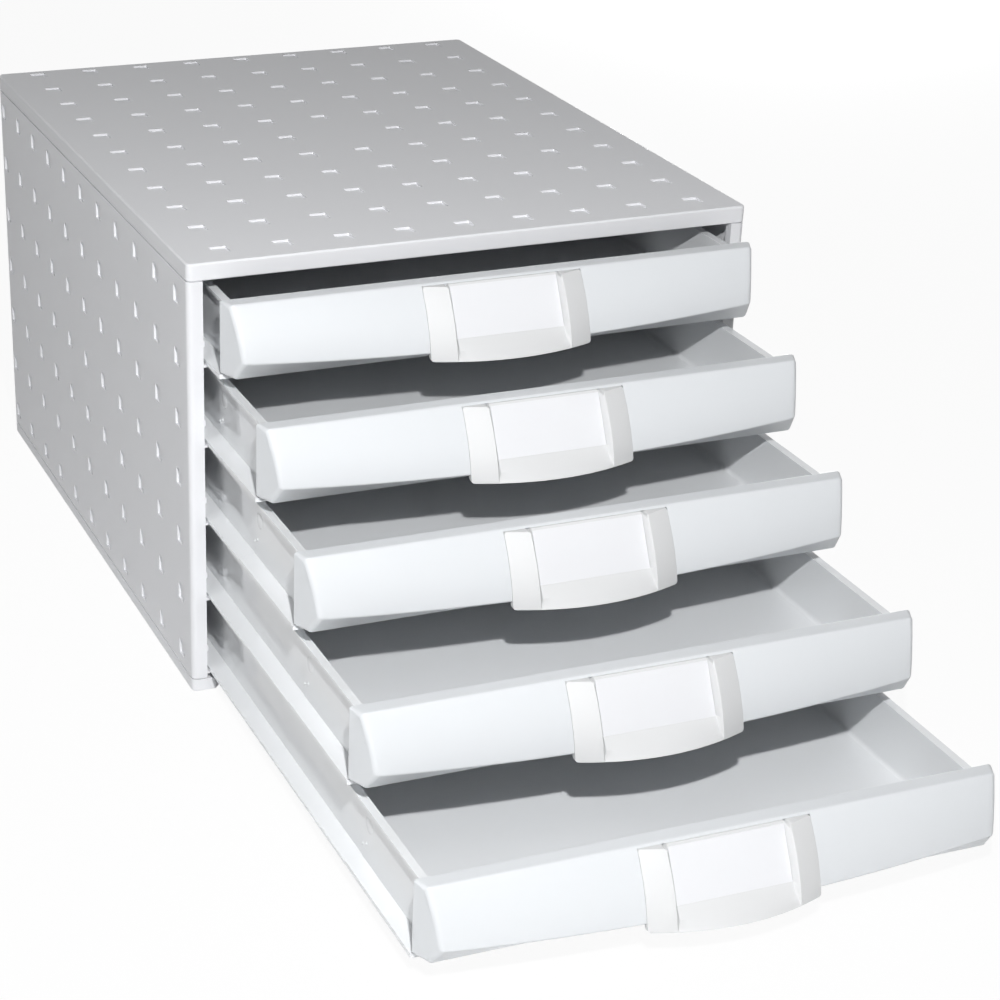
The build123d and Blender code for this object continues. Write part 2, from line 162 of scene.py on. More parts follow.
class HandleSizes(bpy.types.PropertyGroup):
    half_width: length("Half width", 38.9, "Half the handle's width at the bottom of the front")
    taper: length("Taper", 0.5, "How much narrower each side is at the top")
    top_drop: length("Top", 1.0, "Drop of the handle's top below the front's top")
    bottom_drop: length("Bottom", 31.0, "Drop of the handle's bottom edge")
    proud: length("Proud", 0.3, "How far its sides stand in front of the face")
    crown_top: length("Crown, top", 7.2, "Bow of the handle across its width, at the top")
    crown_bottom: length("Crown, bottom", 7.5, "Bow of the handle across its width, at the bottom")
    pillar_width: length("Pillar width", 11.9, "Width of the pillars beside the window")
    side_draft: length("Side draft", 1.05, "How far the window's side walls draw in")
    lip_width: length("Lip width", 0.6, "Width of the slanted lip around the window")
    lip_depth: length("Lip depth", 0.8, "Depth of that lip")
    shoulder: length("Shoulder", 1.6, "Radius of the pillars' inner upper corners")
    back_gap: length("Back gap", 0.15, "Gap between the handle's back and its seat")
    corner: length("Corner", 1.3, "Radius of the corners")
    hollow_top: length("Hollow top", 25.5, "Drop of the finger hollow's upper end")
    hollow_depth: length("Hollow depth", 19.0, "Depth of the finger hollow's upper end")
    hollow_wall: length("Hollow wall", 2.4, "Wall in front of the finger hollow")
    edge_ease: length("Edge ease", 0.2, "Rounding of the handle's edges")
    label_top_depth: length("Label top depth", 9.9, "Depth of the card's upper edge")
    label_top_drop: length("Label top drop", 1.7, "Drop of the card's upper edge")
    label_bottom_depth: length("Label bottom depth", 20.9, "Depth of the card's lower edge")
    label_bottom_drop: length("Label bottom drop", 22.3, "Drop of the card's lower edge")
    label_bed: length("Label bed", 0.6, "Depth of the bed under the card's face")
    label_half: length("Label half width", 25.8, "Half the width of the card")
    label_thickness: length("Label thickness", 0.5, "Thickness of the card")
    label_ease: length("Label ease", 0.08, "Rounding of the card's edges")


class Finishes(bpy.types.PropertyGroup):
    case: colour("Case", "E5E6E9", "Light grey polystyrene of the case")
    tray: colour("Tray", "E0E2E4", "Pale cool grey polystyrene of the trays")
    front: colour("Front", "D9DCDF", "Near-white polystyrene of the drawer fronts")
    handle: colour("Handle", "D6D7D8", "Very light grey polystyrene of the handles")
    label: colour("Label", "E1E2E5", "White card of the labels")
    floor: colour("Floor", "F2F2F2", "Pale matt floor of the studio")


class Stage(bpy.types.PropertyGroup):
    camera_place: FloatVectorProperty(
        name="Camera place", description="Where the camera stands", subtype="XYZ", unit="LENGTH",
        default=(-435.69 * MM, -1125.88 * MM, 548.83 * MM),
    )
    camera_turn: FloatVectorProperty(
        name="Camera turn", description="Tilt, roll and heading of the camera", subtype="EULER", unit="ROTATION",
        default=(math.radians(63.1908), math.radians(-1.0487), math.radians(-21.3472)),
    )
    lens: FloatProperty(name="Lens", description="Focal length on a 36 mm sensor, in millimetres", default=87.1)
    shift_x: FloatProperty(name="Shift across", description="Sideways shift of the frame", default=0.13635)
    shift_y: FloatProperty(name="Shift up", description="Upward shift of the frame", default=0.11113)
    key_place: FloatVectorProperty(
        name="Key lamp", description="Where the key lamp stands", subtype="XYZ", unit="LENGTH",
        default=(-297 * MM, -926 * MM, 691 * MM),
    )
    key_size: length("Key size", 25, "Side of the square key lamp")
    key_power: FloatProperty(name="Key power", description="Power of the key lamp in watts", default=8.3)
    side_place: FloatVectorProperty(
        name="Side lamp", description="Where the large soft lamp on the left stands", subtype="XYZ", unit="LENGTH",
        default=(-1300 * MM, -300 * MM, 250 * MM),
    )
    side_size: length("Side lamp size", 900, "Side of the square soft lamp")
    side_power: FloatProperty(name="Side lamp power", description="Power of the soft lamp in watts", default=2.0)
    top_place: FloatVectorProperty(
        name="Top lamp", description="Where the large soft lamp above stands", subtype="XYZ", unit="LENGTH",
        default=(-500 * MM, -500 * MM, 1300 * MM),
    )
    top_size: length("Top lamp size", 900, "Side of the square soft lamp above")
    top_power: FloatProperty(name="Top lamp power", description="Power of that lamp in watts", default=2.5)
    rear_place: FloatVectorProperty(
        name="Rear lamp", description="Where the lamp behind stands", subtype="XYZ", unit="LENGTH",
        default=(950 * MM, 1150 * MM, 100 * MM),
    )
    rear_size: length("Rear lamp size", 180, "Side of that square lamp, which stands lower than the cover")
    rear_power: FloatProperty(name="Rear lamp power", description="Power of that lamp in watts", default=8.0)
    fill: FloatProperty(name="Fill", description="Strength of the studio's even light", default=0.03)
    floor_half: length("Floor half width", 3000, "Half the width of the floor")
    floor_drop: length("Floor drop", 0.3, "How far the floor lies below the base")
    floor_white: FloatProperty(
        name="Floor white", description="Share of plain white in what the camera sees of the floor", default=0.94
    )


# Meshes


def grid_faces(rows, columns, around=False):
    """Quads between neighbours in a grid numbered row by row. With around, the last column meets the first."""
    row, column = np.mgrid[0 : rows - 1, 0 : columns if around else columns - 1]
    after = (column + 1) % columns
    this_row, next_row = row * columns, (row + 1) * columns
    corners = [this_row + column, this_row + after, next_row + after, next_row + column]
    return np.stack(corners, -1).reshape(-1, 4)


def closed_between(front, back):
    """Closed surface between two grids of points with like rows and columns, joined along all four edges."""
    rows, columns = front.shape[:2]
    index = np.arange(rows * columns).reshape(rows, columns)
    rim = np.concatenate([index[0, :-1], index[:-1, -1], index[-1, :0:-1], index[:0:-1, 0]])
    after = np.roll(rim, -1)
    sides = np.stack([rim, after, after + index.size, rim + index.size], -1)
    faces = grid_faces(rows, columns)
    points = np.concatenate([front.reshape(-1, 3), back.reshape(-1, 3)])
    return points, [*faces.tolist(), *(faces[:, ::-1] + index.size).tolist(), *sides.tolist()]


def make_piece(name, points, faces, material, body, slot, *nodes):
    """A smooth mesh from arrays of points and faces, merged and turned outwards, that stands for CAD nodes if any."""
    mesh = bpy.data.meshes.new(name)
    mesh.from_pydata(np.asarray(points).tolist(), [], [list(face) for face in faces])
    shape = bmesh.new()
    shape.from_mesh(mesh)
    bmesh.ops.remove_doubles(shape, verts=shape.verts, dist=MERGE_DISTANCE)
    bmesh.ops.dissolve_degenerate(shape, edges=shape.edges, dist=MERGE_DISTANCE)
    bmesh.ops.recalc_face_normals(shape, faces=shape.faces)
    shape.to_mesh(mesh)
    shape.free()
    mesh.shade_smooth()
    piece = bpy.data.objects.new(name, mesh)
    bpy.context.scene.collection.objects.link(piece)
    mesh.materials.append(material)
    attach(piece, body)
    if nodes:
        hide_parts(*nodes)
    return piece


def ease_edges(piece, width):
    """Rounds every clear edge, as a mould leaves it."""
    bevel = piece.modifiers.new("Eased edges", "BEVEL")
    bevel.width = width
    bevel.segments = EASE_SEGMENTS
    bevel.limit_method = "ANGLE"
    bevel.angle_limit = EASE_ANGLE
    bevel.harden_normals = True


def even_normals(piece):
    """Keeps broad faces flat in shade up to their rounded edges, and sharp creases sharp."""
    piece.data.set_sharp_from_angle(angle=SHARP_ANGLE)
    normals = piece.modifiers.new("Even normals", "WEIGHTED_NORMAL")
    normals.keep_sharp = True


def open_seams(shape, node, sizes):
    """Opens a wedge along a side panel's outer edges at its top and foot, where it meets the cover and the base.

    The panel is cut along planes that lie the wedge's reach inside its outer faces. From there its top and foot
    lean away towards the outside, and the wedge follows the rounding of the upright corners.
    """
    low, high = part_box(node)
    side = math.copysign(1, low.x + high.x)
    outer = max(-low.x, high.x)
    cuts = (
        ((side * (outer - sizes.seam_reach), 0, 0), (1, 0, 0)),
        ((0, low.y + sizes.seam_reach, 0), (0, 1, 0)),
        ((0, high.y - sizes.seam_reach, 0), (0, 1, 0)),
    )
    for place, normal in cuts:
        everything = [*shape.verts, *shape.edges, *shape.faces]
        bmesh.ops.bisect_plane(shape, geom=everything, plane_co=place, plane_no=normal)
    for vertex in shape.verts:
        x, y, z = vertex.co
        across, along = outer - side * x, min(y - low.y, high.y - y)
        depth = min(across, along)
        if max(across, along) < sizes.corner:
            depth = sizes.corner - math.hypot(sizes.corner - across, sizes.corner - along)
        share = max(0, 1 - depth / sizes.seam_reach)
        if abs(z - high.z) < LEVEL_TOLERANCE:
            vertex.co.z -= sizes.seam_gap * share
        elif abs(z - low.z) < LEVEL_TOLERANCE:
            vertex.co.z += sizes.foot_gap * share


def panel_from_node(node, name, material, body, slot, ease, seams=None):
    """A copy of a flat-sided node with its doubles merged, its triangles joined into faces and its edges eased.

    With seams, the sizes of the case, the copy's top and foot open to seams.
    """
    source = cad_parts[node].data
    points = np.empty(len(source.vertices) * 3)
    source.vertices.foreach_get("co", points)
    source.calc_loop_triangles()
    corners = np.empty(len(source.loop_triangles) * 3, np.int32)
    source.loop_triangles.foreach_get("vertices", corners)
    piece = make_piece(name, points.reshape(-1, 3), corners.reshape(-1, 3), material, body, slot, node)
    shape = bmesh.new()
    shape.from_mesh(piece.data)
    bmesh.ops.dissolve_limit(
        shape, angle_limit=FLAT_ANGLE, verts=shape.verts, edges=shape.edges, use_dissolve_boundaries=False
    )
    if seams:
        open_seams(shape, node, seams)
    shape.to_mesh(piece.data)
    shape.free()
    ease_edges(piece, ease)
    return piece


def drawer_place(body):
    """Middle of the back of a drawer front's top edge, which its pieces are measured from."""
    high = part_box(f"{body}_front")[1]
    return np.array([0.0, high.y, high.z])


def in_drawer(x, depth, drop):
    """Points in a drawer's own frame: x across, depth forwards (-Y) and drop downwards (-Z)."""
    return np.stack(np.broadcast_arrays(x, -depth, -drop), -1)


def front_size():
    """Height and half the width of a drawer front."""
    low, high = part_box("drawer_1_front")
    return high.z - low.z, high.x


def in_every_drawer(surface, part, ending, material, slot):
    """Five pieces with one surface, given in a drawer's own frame, that stand for that part of each drawer."""
    points, faces = surface
    bodies = [f"drawer_{number}" for number in DRAWERS]
    return [
        make_piece(
            f"{body}_{part}_{ending}", points + drawer_place(body), faces, material, body, slot, f"{body}_{part}"
        )
        for body in bodies
    ]


# Materials


def add_node(tree, kind, inputs=None, **settings):
    """One node with its settings. Inputs are values, or sockets of other nodes that are linked to it."""
    node = tree.nodes.new(kind)
    for key, value in settings.items():
        setattr(node, key, value)
    for key, value in (inputs or {}).items():
        if isinstance(value, bpy.types.NodeSocket):
            tree.links.new(value, node.inputs[key])
        else:
            node.inputs[key].default_value = value
    return node


def moulded_finish(name, tint, rough, grain, relief, cloud, polish_and_painted_light_from=None, shine=0.05, painted_light_lift=0.1):
    """Injection-moulded polystyrene, IOR 1.59: a fine grain from the mould, and faint clouding where it flowed.

    grain is the size of the mould's texture and relief its depth, both in metres. cloud is the share by which
    the colour changes over a few centimetres. polish_and_painted_light_from is the distance from the middle plane,
    to either side, beyond which the mould left a gloss: there the surface has the roughness shine, and its colour
    is painted lighter by the share painted_light_lift, painted light that stands in for the light on those surfaces.
    """
    material = bpy.data.materials.new(name)
    material.use_nodes = True
    tree = material.node_tree
    shader = tree.nodes["Principled BSDF"]
    shader.inputs["IOR"].default_value = POLYSTYRENE_IOR
    place = add_node(tree, "ShaderNodeTexCoord").outputs["Object"]
    flow = add_node(tree, "ShaderNodeTexNoise", {"Vector": place, "Scale": 1 / FLOW_SIZE, "Detail": 3.0})
    clouds = {"Value": flow.outputs["Fac"], "To Min": 1 - cloud, "To Max": 1.0}
    shade = add_node(tree, "ShaderNodeMapRange", clouds).outputs["Result"]
    if polish_and_painted_light_from:
        across = add_node(tree, "ShaderNodeSeparateXYZ", {"Vector": place}).outputs["X"]
        aside = add_node(tree, "ShaderNodeMath", {0: across}, operation="ABSOLUTE").outputs[0]
        outside = add_node(tree, "ShaderNodeMath", {0: aside, 1: polish_and_painted_light_from}, operation="GREATER_THAN").outputs[0]
        # Painted light: beyond that distance the colour is made lighter by a share, standing in for the light on the
        # trays' outer walls
        painted_light_inputs = {0: outside, 1: painted_light_lift, 2: shade}
        shade = add_node(tree, "ShaderNodeMath", painted_light_inputs, operation="MULTIPLY_ADD").outputs[0]
    colours = {"Factor": 1.0, "A": list(tint), "B": shade}
    tinted = add_node(tree, "ShaderNodeMix", colours, data_type="RGBA", blend_type="MULTIPLY")
    tree.links.new(tinted.outputs[2], shader.inputs["Base Color"])
    speck = add_node(tree, "ShaderNodeTexNoise", {"Vector": place, "Scale": 1 / grain, "Detail": 2.0})
    spread = {"Value": speck.outputs["Fac"], "To Min": rough - ROUGH_SPREAD, "To Max": rough + ROUGH_SPREAD}
    level = add_node(tree, "ShaderNodeMapRange", spread).outputs["Result"]
    if polish_and_painted_light_from:
        level = add_node(tree, "ShaderNodeMix", {0: outside, 2: level, 3: shine}).outputs[0]
    tree.links.new(level, shader.inputs["Roughness"])
    height = {"Height": speck.outputs["Fac"], "Distance": relief, "Strength": GRAIN_STRENGTH}
    bump = add_node(tree, "ShaderNodeBump", height)
    tree.links.new(bump.outputs["Normal"], shader.inputs["Normal"])
    return material


def case_polystyrene(finishes):
    """Light grey with an eroded satin texture. The real grain is about 0.15 mm and is drawn at 0.5 mm to show."""
    return moulded_finish(
        "moulded polystyrene, satin case",
        finishes.case, rough=0.5, grain=0.5 * MM, relief=0.02 * MM, cloud=0.02,
    )


def tray_polystyrene(finishes):
    """Pale cool grey: satin inside, and glossy outside, where the walls mirror what is beside them.

    The glossy surfaces are all that lies beyond the inner faces of the tray's walls. There the colour is also
    painted lighter, as painted light standing in for the light that falls on the outer walls.
    """
    return moulded_finish(
        "moulded polystyrene, smooth tray",
        finishes.tray, rough=0.4, grain=0.8 * MM, relief=0.003 * MM, cloud=0.02, polish_and_painted_light_from=120.9 * MM,
    )


def front_polystyrene(finishes):
    """Near-white from a fine matt mould, with a soft sheen on the bowed face."""
    return moulded_finish(
        "moulded polystyrene, matt front",
        finishes.front, rough=0.45, grain=0.6 * MM, relief=0.012 * MM, cloud=0.015,
    )


def handle_polystyrene(finishes):
    """Very light grey, a little more matt than the fronts."""
    return moulded_finish(
        "moulded polystyrene, matt handle",
        finishes.handle, rough=0.62, grain=0.6 * MM, relief=0.012 * MM, cloud=0.015,
    )


def label_card(finishes):
    """Smooth white card, IOR 1.5: fibres of about 0.4 mm give a faint uneven surface."""
    material = bpy.data.materials.new("coated white card")
    material.use_nodes = True
    tree = material.node_tree
    shader = tree.nodes["Principled BSDF"]
    shader.inputs["Base Color"].default_value = list(finishes.label)
    shader.inputs["IOR"].default_value = 1.5
    shader.inputs["Roughness"].default_value = 0.6
    place = add_node(tree, "ShaderNodeTexCoord").outputs["Object"]
    fibre = add_node(tree, "ShaderNodeTexNoise", {"Vector": place, "Scale": 1 / (0.4 * MM), "Detail": 4.0})
    bump = add_node(tree, "ShaderNodeBump", {"Height": fibre.outputs["Fac"], "Distance": 0.01 * MM, "Strength": 0.4})
    tree.links.new(bump.outputs["Normal"], shader.inputs["Normal"])
    return material


# Shapes of the drawer fronts and handles


def face_at(x, drop, sizes, height, half):
    """Depth of the face at a place across the front and a drop below its top.

    With k the drop's share of the height: the band, plus the lean times k, plus a bulge 4 k (1 - k), plus a bow
    across, (top bulge + plan bulge k (rise - (rise - 1) k)) times 1 less the square of x over the half width.
    """
    k = drop / height
    crown = sizes.top_bulge + sizes.plan_bulge * k * (sizes.bulge_rise - (sizes.bulge_rise - 1) * k)
    return sizes.band_depth + sizes.face_lean * k + 4 * sizes.face_bulge * k * (1 - k) + crown * (1 - (x / half) ** 2)


def seat_at(drop, sizes, handle, height, half):
    """Depth of the handle's flat seat: a straight line between two places behind the face beside the handle."""
    top = face_at(handle.half_width, 0, sizes, height, half)
    foot = face_at(handle.half_width, height, sizes, height, half)
    return top + (foot - top) * drop / height - sizes.seat_depth


def rounded(before, tip, after, count=6):
    """Points from before to after that round the corner at tip, and the way inwards from that corner.

    The points lie on a quadratic curve pulled towards the tip. The way inwards is the mitre: the sum of the two
    sides' normals over 1 plus their product, so that points moved along it keep the corner's form.
    """
    s = np.linspace(0, 1, count)
    points = [(1 - s) ** 2 * a + 2 * s * (1 - s) * b + s**2 * c for a, b, c in zip(before, tip, after)]
    first = np.array([b - a for a, b in zip(before, tip)])
    last = np.array([c - b for b, c in zip(tip, after)])
    first, last = (side / np.hypot(*side) for side in (first, last))
    mitre = (first + last) / (1 + (first * last).sum(0))
    return *points, np.broadcast_to(-mitre[1], points[0].shape), np.broadcast_to(mitre[0], points[0].shape)


def straight(depth, drop):
    """Points on a run of the section, and the way inwards from it: the normal of the line through its ends."""
    depth, drop = np.broadcast_arrays(depth, drop)
    along = np.stack([np.gradient(depth, axis=1), np.gradient(drop, axis=1)])
    along = along / (np.hypot(*along) + 1e-12)  # the small number keeps a run without length from dividing by 0
    return depth, drop, -along[1], along[0]


def front_surface(sizes, handle, height, half):
    """A drawer front: one closed section, seen from the side, carried across the width.

    Every column is a section that runs over the top band, round its edge, down the face, round the lower edge,
    back along the under-chamfer to the foot, and up the back. Columns lean with the slanted ends, draw in on a
    quarter circle at each end, and are cut back where the handle's seat and the tray's slot are. The columns of
    one half are listed from the end to the middle, and the other half mirrors them.
    """
    end_columns, slot_columns, seat_columns = 6, 12, 9
    seat_half = handle.half_width + sizes.seat_gap
    turn = np.linspace(math.pi / 2, 0, end_columns)
    beside_seat = np.linspace(sizes.slot_half, seat_half, slot_columns)
    on_seat = np.linspace(seat_half, 0, seat_columns)
    station = np.concatenate([np.full(end_columns, half), [sizes.slot_half], beside_seat, on_seat])
    order = np.arange(len(station))
    none_further = np.zeros(len(station) - end_columns)
    pull = np.concatenate([sizes.end_round * (1 - np.sin(turn)), none_further])
    inset = np.concatenate([sizes.end_round * (1 - np.cos(turn)), none_further])
    slotted = order > end_columns
    seated = order > end_columns + slot_columns
    across = np.repeat([-1.0, 1.0], [len(station), len(station) - 1])[:, None]
    station, pull, inset, slotted, seated = (
        np.concatenate([a, a[-2::-1]])[:, None] for a in (station, pull, inset, slotted, seated)
    )
    lean = sizes.end_slant * np.clip((station - sizes.slant_start) / (half - sizes.slant_start), 0, 1)
    taper = handle.taper * np.interp(station, [0, seat_half, sizes.slot_half], [0, 1, 0])

    def column(depth, drop):
        """Place across of each column, which leans inwards with depth and, beside the handle, upwards."""
        return station - lean * depth - taper * (1 - drop / height)

    def face_on(drop):
        """Depth of the face on each column. It depends on where the column leans to, and four rounds settle it."""
        depth = np.full_like(station, sizes.band_depth)
        for _ in range(4):
            depth = face_at(column(depth, drop), drop, sizes, height, half)
        return depth

    def skin(drop):
        """Depth of the face, or of the handle's seat in the columns that have it."""
        return np.where(seated, seat_at(drop, sizes, handle, height, half), face_on(drop))

    low_x = column(face_on(sizes.edge_drop_end), sizes.edge_drop_end)
    edge = sizes.edge_drop_middle - (sizes.edge_drop_middle - sizes.edge_drop_end) * (low_x / half) ** 2
    edge_depth = face_on(edge)
    fall = (edge_depth - sizes.foot_depth) / (height - edge)
    seat_lean = seat_at(height, sizes, handle, height, half) - seat_at(0, sizes, handle, height, half)
    low = edge + (edge_depth - skin(edge)) / (fall + seat_lean / height)
    low_depth = skin(low)
    slant = np.hypot(low_depth - sizes.foot_depth, height - low)
    step_depth = (sizes.foot_depth - low_depth) / slant
    step_drop = (height - low) / slant
    back = sizes.slot_depth * slotted
    none = np.zeros_like(station)
    top = face_on(0)
    face_rows = np.linspace(0, 1, 15)[None, 1:-1]
    face_drops = sizes.seat_top + (low - sizes.low_round - sizes.seat_top) * face_rows
    face = straight(np.concatenate([skin(d[:, None]) for d in face_drops.T], 1), face_drops)
    ledge = (face[2][:, :1], face[3][:, :1])
    top_edge = none
    foot_edge = none + height
    foot_depth = none + sizes.foot_depth
    t, r, f, b = sizes.top_round, sizes.low_round, sizes.foot_round, sizes.back_round
    blocks = [
        rounded((none, none + b), (none, top_edge), (none + b, top_edge), 4),
        rounded((top - t, top_edge), (top, top_edge), (face_on(t), none + t)),
        (face_on(sizes.seat_top), none + sizes.seat_top, *ledge),
        (skin(sizes.seat_top), none + sizes.seat_top, *ledge),
        face,
        rounded((skin(low - r), low - r), (low_depth, low), (low_depth + r * step_depth, low + r * step_drop)),
        rounded(
            (foot_depth - f * step_depth, foot_edge - f * step_drop),
            (foot_depth, foot_edge),
            (foot_depth - f, foot_edge),
            4,
        ),
        rounded((back + b, foot_edge), (back, foot_edge), (back, foot_edge - b), 4),
        (back, none + sizes.wall, none + 1, none),
        (none, none + sizes.wall, none + 1, none),
    ]
    depth, drop, in_depth, in_drop = (np.concatenate([block[i] for block in blocks], 1) for i in range(4))
    growth = np.clip(depth / sizes.end_growth, sizes.end_round_back / sizes.end_round, 1)
    depth, drop = depth + inset * growth * in_depth, drop + inset * growth * in_drop
    x = across * (column(depth, drop) - pull)
    faces = grid_faces(*depth.shape, around=True).tolist()
    ends = [list(range(depth.shape[1])), list(range(depth.size - depth.shape[1], depth.size))]
    return in_drawer(x, depth, drop).reshape(-1, 3), faces + ends


def handle_edge(x, drop, front, handle, height, half):
    """Depth of the handle's crowned surface: the face beside it, plus a bow that grows downwards."""
    side = handle.half_width - handle.taper * (1 - drop / height)
    growth = (drop - handle.top_drop) / (handle.bottom_drop - handle.top_drop)
    crown = handle.crown_top + (handle.crown_bottom - handle.crown_top) * growth
    edge = face_at(handle.half_width, drop, front, height, half) + handle.proud
    return edge + crown * (1 - (x / side) ** 2)


def handle_surface(front, handle, height, half):
    """A handle: a front surface and a back surface, both depths over the same grid of places and drops.

    In front it is the crown, cut back in the window to the card's slanted bed and, below it, to a ramp ruled from
    a straight line to the bowed bottom edge. A lip slants from the window's wall to the crown. At the back it is
    the seat's line, hollowed under the ramp for the fingers. Each outer corner is a square of cells drawn onto a
    quarter disc. The pillars' inner upper corners drop away on a quarter circle, which fades out downwards.
    """
    window = handle.half_width - handle.pillar_width
    corner, shoulder = handle.corner, handle.shoulder
    square = np.linspace(0, 1, 4)
    shoulder_columns = np.array([0.65, 1])
    places = np.concatenate(
        [
            np.linspace(0, window - handle.side_draft, 9),
            [window, window + handle.lip_width],
            window + shoulder * shoulder_columns,
            np.linspace(window + shoulder, handle.half_width - corner, 6)[1:-1],
            handle.half_width - corner * square[::-1],
        ]
    )
    places = np.concatenate([-places[:0:-1], places])
    bed_end = handle.label_bottom_drop
    bed_steps = 10
    drops = np.concatenate(
        [
            handle.top_drop + corner * square,
            np.linspace(handle.top_drop + corner, bed_end, bed_steps + 1)[1:],
            np.linspace(bed_end, handle.hollow_top, 3),
            np.linspace(handle.hollow_top, handle.bottom_drop - corner, 4)[1:-1],
            handle.bottom_drop - corner * square[::-1],
        ]
    )
    bed_rows = len(square) + bed_steps
    x, drop = np.meshgrid(places, drops)
    u = np.clip((abs(x) - handle.half_width + corner) / corner, 0, 1)
    v = np.clip((drop - handle.bottom_drop + corner) / corner, 0, 1)
    v = v - np.clip((handle.top_drop + corner - drop) / corner, 0, 1)
    x = x + np.sign(x) * corner * u * (np.sqrt(1 - v**2 / 2) - 1)
    drop = drop + corner * v * (np.sqrt(1 - u**2 / 2) - 1)
    beside_window = abs(x) > window - handle.lip_width / 2
    near = np.clip((window + shoulder - abs(x)) / shoulder, 0, 1) * beside_window
    fade = np.clip(1 - (drop - handle.top_drop) / (4 * shoulder), 0, 1)
    drop = drop + shoulder * (1 - np.sqrt(1 - near**2)) * fade
    outer = np.clip((abs(x) - window) / handle.pillar_width, 0, 1)
    x_wall = x - np.sign(x) * handle.taper * (1 - drop / height) * outer
    crown = handle_edge(x_wall, drop, front, handle, height, half)
    run = handle.label_bottom_depth - handle.label_top_depth
    fall = handle.label_bottom_drop - handle.label_top_drop
    bed = handle.label_top_depth + run / fall * (drop - handle.label_top_drop)
    bed = bed - handle.label_bed * math.hypot(run, fall) / fall
    rim = handle_edge(x_wall, handle.bottom_drop, front, handle, height, half)
    share = (drop - bed_end) / (handle.bottom_drop - bed_end)
    ramp = handle.label_bottom_depth + (rim - handle.label_bottom_depth) * share
    row = np.arange(len(drops))[:, None]
    in_window = np.minimum(crown, np.where(row < bed_rows, bed, ramp))
    on_lip = np.maximum(crown - handle.lip_depth, in_window)
    inside = abs(x) < window - handle.side_draft / 2
    at_lip = abs(abs(x) - window) < handle.side_draft / 4
    ahead = np.where(inside, in_window, np.where(at_lip, on_lip, crown))
    seat = seat_at(drop, front, handle, height, half) + handle.back_gap
    deep = rim - handle.hollow_wall
    below = np.clip((drop - handle.hollow_top) / (handle.bottom_drop - handle.hollow_top), 0, 1)
    hollow = np.maximum(seat, handle.hollow_depth + (deep - handle.hollow_depth) * below)
    behind = np.where(inside & (drop > handle.hollow_top), hollow, seat)
    return closed_between(in_drawer(x_wall, ahead, drop), in_drawer(x_wall, behind, drop))


def label_surface(handle):
    """A card on the handle's slanted bed: a flat grid, with its back a thickness behind it."""
    across, down = np.meshgrid(np.linspace(-1, 1, 9), np.linspace(0, 1, 7))
    run = handle.label_bottom_depth - handle.label_top_depth
    fall = handle.label_bottom_drop - handle.label_top_drop
    front = in_drawer(
        across * handle.label_half, handle.label_top_depth + run * down, handle.label_top_drop + fall * down
    )
    inwards = np.array([0.0, fall, -run]) / math.hypot(run, fall)
    return closed_between(front, front + handle.label_thickness * inwards)


def boss_surface(sizes, side, back, drop, radius, height):
    """A low round boss on a tray's outer wall: one profile carried around its middle, and leaned with the wall.

    The profile's height is the given height times 1 less the square of the radius's share, to the power 1.5. Its
    last two rings are the root, which is set in the wall.
    """
    share = np.concatenate([np.linspace(0, 1, 9), [1, 0]])[:, None]
    rise = height * (1 - share**2) ** 1.5
    rise[-2:] = -sizes.boss_root
    turn = np.linspace(0, 2 * math.pi, 32, endpoint=False)
    depth = -back + radius * share * np.cos(turn)
    drop = drop + radius * share * np.sin(turn)
    lean = (drop - sizes.wall_top) / (sizes.wall_foot - sizes.wall_top)
    out = sizes.wall_out - sizes.wall_draft * lean + rise
    return in_drawer(side * out, depth, drop).reshape(-1, 3), grid_faces(*depth.shape, around=True)


def wall_bosses(sizes, side):
    """The boss on one of a tray's walls, and the two pips under it."""
    spots = [(sizes.boss_back, sizes.boss_drop, sizes.boss_radius, sizes.boss_height)]
    for behind, below in PIPS:
        spots.append((sizes.boss_back + behind, sizes.boss_drop + below, sizes.pip_radius, sizes.pip_height))
    parts = [boss_surface(sizes, side, *spot) for spot in spots]
    faces = np.concatenate([part[1] + index * len(part[0]) for index, part in enumerate(parts)])
    return np.concatenate([part[0] for part in parts]), faces.tolist()


# Operators


class CABINET_OT_case(bpy.types.Operator):
    """Finish the case's five panels"""

    bl_idname = "cabinet.case"
    bl_label = "Case"

    def execute(self, context):
        material = case_polystyrene(context.scene.cabinet_finishes)
        sizes = context.scene.cabinet_case
        for node in CASE_NODES:
            seams = sizes if node.startswith("side_panel") else None
            panel_from_node(node, f"{node}_moulding", material, "case", "case_shell", sizes.edge_ease, seams)
        return {"FINISHED"}


class CABINET_OT_trays(bpy.types.Operator):
    """Finish the five trays, and make the low bosses on their outer walls"""

    bl_idname = "cabinet.trays"
    bl_label = "Trays"

    def execute(self, context):
        material = tray_polystyrene(context.scene.cabinet_finishes)
        ease = context.scene.cabinet_case.tray_ease
        for body in (f"drawer_{number}" for number in DRAWERS):
            panel_from_node(f"{body}_tray", f"{body}_tray_moulding", material, body, "drawer_tray", ease)
            for word, side in (("left", -1), ("right", 1)):
                points, faces = wall_bosses(context.scene.cabinet_tray, side)
                placed = points + drawer_place(body)
                make_piece(f"{body}_tray_bosses_{word}", placed, faces, material, body, "drawer_tray")
        return {"FINISHED"}


class CABINET_OT_fronts(bpy.types.Operator):
    """Make the five bowed drawer fronts"""

    bl_idname = "cabinet.fronts"
    bl_label = "Drawer fronts"

    def execute(self, context):
        scene = context.scene
        surface = front_surface(scene.cabinet_front, scene.cabinet_handle, *front_size())
        material = front_polystyrene(scene.cabinet_finishes)
        for piece in in_every_drawer(surface, "front", "moulding", material, "drawer_front"):
            even_normals(piece)
        return {"FINISHED"}


